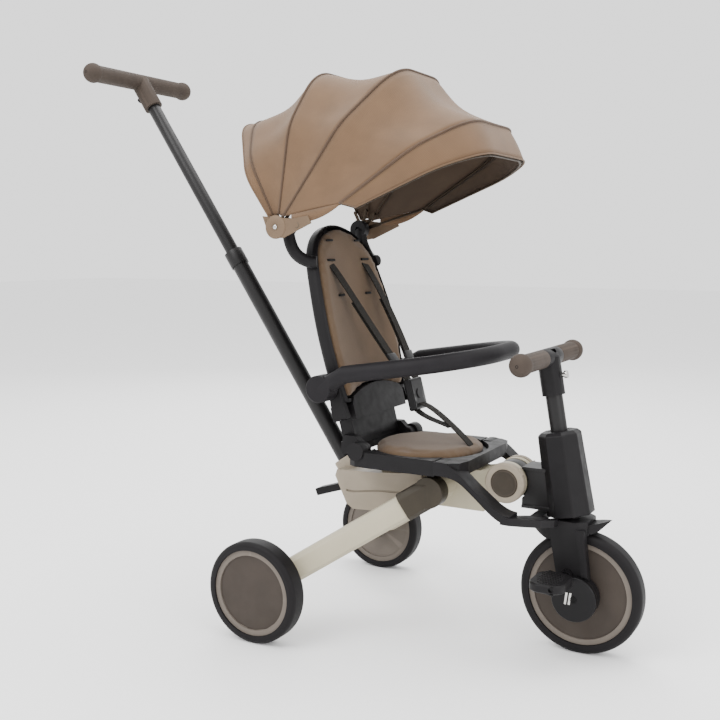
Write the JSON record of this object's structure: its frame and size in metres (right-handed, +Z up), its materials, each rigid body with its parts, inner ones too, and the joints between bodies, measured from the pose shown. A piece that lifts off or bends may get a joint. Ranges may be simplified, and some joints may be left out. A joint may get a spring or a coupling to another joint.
{
  "type": "children's tricycle",
  "caption": "Folding children's tricycle with a parent push pole, a reclining harness seat, a bumper bar and a fan-folding sun canopy.",
  "frame": {"origin": "on the floor, under the middle of the bounding box", "axes": "+X forwards, the way the rider faces; +Y to the rider's left; +Z up"},
  "size_m": [1.0744, 0.506, 1.0397],
  "materials": {
    "black_plastic": "fine satin grain",
    "black_metal": "satin powder coat",
    "taupe_fabric": "tight weave over foam",
    "canopy_cloth": "plain weave",
    "webbing": "ribbed webbing",
    "taupe_grip": "soft matt",
    "beige_metal": "satin paint",
    "beige_plastic": "satin",
    "dark_taupe": "satin",
    "wheel_disc": "fine grain",
    "tyre": "matt foam rubber",
    "canopy_plate": "satin",
    "wire": "drawn",
    "steel": "bright",
    "bush": "plain"
  },
  "bodies": {
    "rear_frame": {"rear_beam": "beige_metal", "rear_housing": "beige_plastic", "pole_socket": "beige_plastic", "pole_outer_tube": "black_metal", "hinge_covers": "beige_plastic", "frame_pins": "steel", "seat_shell": "black_plastic", "seat_pad": "taupe_fabric", "crotch_strap": "webbing"},
    "right_fold_button": {"right_fold_button": "dark_taupe"},
    "left_fold_button": {"left_fold_button": "dark_taupe"},
    "rear_lever": {"rear_lever": "black_plastic"},
    "push_pole": {"pole_inner_tube": "black_metal", "push_handle_stem": "taupe_grip", "push_handle_grip": "taupe_grip"},
    "pole_button": {"pole_button": "black_plastic"},
    "front_frame": {"front_beam": "black_metal", "steering_housing": "black_plastic", "housing_bushes": "bush", "footrest_frame": "black_plastic"},
    "steering": {"fork": "black_plastic", "fender": "black_plastic", "stem_tube": "black_metal"},
    "handlebar": {"handlebar_tee": "black_plastic", "handlebar_grips": "taupe_grip"},
    "height_knob": {"height_knob": "steel"},
    "front_wheel": {"front_tyre": "tyre", "front_disc": "wheel_disc", "front_axle": "steel", "crank_hubs": "black_plastic"},
    "right_pedal": {"right_pedal": "black_plastic"},
    "left_pedal": {"left_pedal": "black_plastic"},
    "backrest": {"backrest_bracket": "black_plastic", "backrest_shell": "black_plastic", "backrest_pad": "taupe_fabric", "shoulder_straps": "webbing", "buckle": "black_plastic", "canopy_arms": "black_plastic", "canopy_plates": "canopy_plate", "canopy_bow_rear": "wire", "canopy_fabric_rear": "canopy_cloth"},
    "bumper": {"bumper_bar": "black_plastic"},
    "canopy_middle": {"canopy_bow_middle": "wire", "canopy_fabric_middle": "canopy_cloth"},
    "canopy_front": {"canopy_bow_front": "wire", "canopy_fabric_front": "canopy_cloth"},
    "canopy_visor": {"canopy_visor": "wire", "canopy_fabric_visor": "canopy_cloth"},
    "right_leg": {"right_leg_tube": "beige_metal", "right_leg_sleeve": "dark_taupe", "right_wheel_boss": "dark_taupe"},
    "right_rear_wheel": {"right_rear_tyre": "tyre", "right_rear_disc": "wheel_disc"},
    "left_leg": {"left_leg_tube": "beige_metal", "left_leg_sleeve": "dark_taupe", "left_wheel_boss": "dark_taupe"},
    "left_rear_wheel": {"left_rear_tyre": "tyre", "left_rear_disc": "wheel_disc"}
  },
  "joints": [
    {"name": "front_fold", "type": "hinge", "parent": "rear_frame", "child": "front_frame", "pos_m": [0.304, 0, 0.285], "axis": [0, 1, 0], "range_deg": [0, 60]},
    {"name": "left_leg_fold", "type": "hinge", "parent": "rear_frame", "child": "left_leg", "pos_m": [0.187, 0.08, 0.266], "axis": [0, 1, 0], "range_deg": [-60, 0]},
    {"name": "right_leg_fold", "type": "hinge", "parent": "rear_frame", "child": "right_leg", "pos_m": [0.187, -0.08, 0.266], "axis": [0, 1, 0], "range_deg": [-60, 0]},
    {"name": "steering_turn", "type": "hinge", "parent": "front_frame", "child": "steering", "pos_m": [0.41, 0, 0.237], "axis": [-0.1719, 0, 0.9851], "range_deg": [-34, 34]},
    {"name": "handlebar_height", "type": "slide", "parent": "steering", "child": "handlebar", "axis": [-0.1719, 0, 0.9851], "range_m": [0, 0.045]},
    {"name": "height_knob_pull", "type": "slide", "parent": "handlebar", "child": "height_knob", "axis": [0.9851, 0, 0.1719], "range_m": [0, 0.004], "stiffness_N_per_m": 300},
    {"name": "front_wheel_spin", "type": "hinge", "parent": "steering", "child": "front_wheel", "pos_m": [0.432, 0, 0.105], "axis": [0, 1, 0], "continuous": true},
    {"name": "right_pedal_spin", "type": "hinge", "parent": "front_wheel", "child": "right_pedal", "pos_m": [0.418, -0.091, 0.143], "axis": [0, 1, 0], "continuous": true},
    {"name": "left_pedal_spin", "type": "hinge", "parent": "front_wheel", "child": "left_pedal", "pos_m": [0.446, 0.091, 0.067], "axis": [0, 1, 0], "continuous": true},
    {"name": "right_rear_wheel_spin", "type": "hinge", "parent": "right_leg", "child": "right_rear_wheel", "pos_m": [-0.077, -0.234, 0.09], "axis": [0, 1, 0], "continuous": true},
    {"name": "left_rear_wheel_spin", "type": "hinge", "parent": "left_leg", "child": "left_rear_wheel", "pos_m": [-0.077, 0.234, 0.09], "axis": [0, 1, 0], "continuous": true},
    {"name": "pole_telescope", "type": "slide", "parent": "rear_frame", "child": "push_pole", "axis": [-0.5541, 0, 0.8324], "range_m": [-0.25, 0]},
    {"name": "pole_button_press", "type": "slide", "parent": "push_pole", "child": "pole_button", "axis": [0.8324, 0, 0.5541], "range_m": [0, 0.003], "stiffness_N_per_m": 400},
    {"name": "right_fold_button_press", "type": "slide", "parent": "rear_frame", "child": "right_fold_button", "axis": [0, 1, 0], "range_m": [0, 0.004], "stiffness_N_per_m": 400},
    {"name": "left_fold_button_press", "type": "slide", "parent": "rear_frame", "child": "left_fold_button", "axis": [0, -1, 0], "range_m": [0, 0.004], "stiffness_N_per_m": 400},
    {"name": "rear_lever_press", "type": "hinge", "parent": "rear_frame", "child": "rear_lever", "pos_m": [0.002, 0, 0.236], "axis": [0, -1, 0], "range_deg": [0, 12], "stiffness_Nm_per_rad": 1.5},
    {"name": "backrest_recline", "type": "hinge", "parent": "rear_frame", "child": "backrest", "pos_m": [0.057, 0, 0.329], "axis": [0, -1, 0], "range_deg": [0, 12], "deforming": ["crotch_strap"]},
    {"name": "bumper_swing", "type": "hinge", "parent": "backrest", "child": "bumper", "pos_m": [0.005, 0, 0.441], "axis": [0, -1, 0], "range_deg": [0, 50]},
    {"name": "canopy_middle_fold", "type": "hinge", "parent": "backrest", "child": "canopy_middle", "pos_m": [-0.075, 0, 0.72], "axis": [0, -1, 0], "range_deg": [0, 24], "deforming": ["canopy_fabric_middle", "canopy_fabric_rear"]},
    {"name": "canopy_front_fold", "type": "hinge", "parent": "canopy_middle", "child": "canopy_front", "pos_m": [-0.075, 0, 0.72], "axis": [0, -1, 0], "range_deg": [0, 18.3], "deforming": ["canopy_fabric_front"]},
    {"name": "canopy_visor_fold", "type": "hinge", "parent": "canopy_front", "child": "canopy_visor", "pos_m": [-0.075, 0, 0.72], "axis": [0, -1, 0], "range_deg": [0, 17.9], "deforming": ["canopy_fabric_visor"]}
  ],
  "couplings": [
    {"joint": "right_leg_fold", "follows": "left_leg_fold", "ratio": 1},
    {"joint": "canopy_front_fold", "follows": "canopy_middle_fold", "ratio": 0.7583},
    {"joint": "canopy_visor_fold", "follows": "canopy_middle_fold", "ratio": 0.7417}
  ]
}
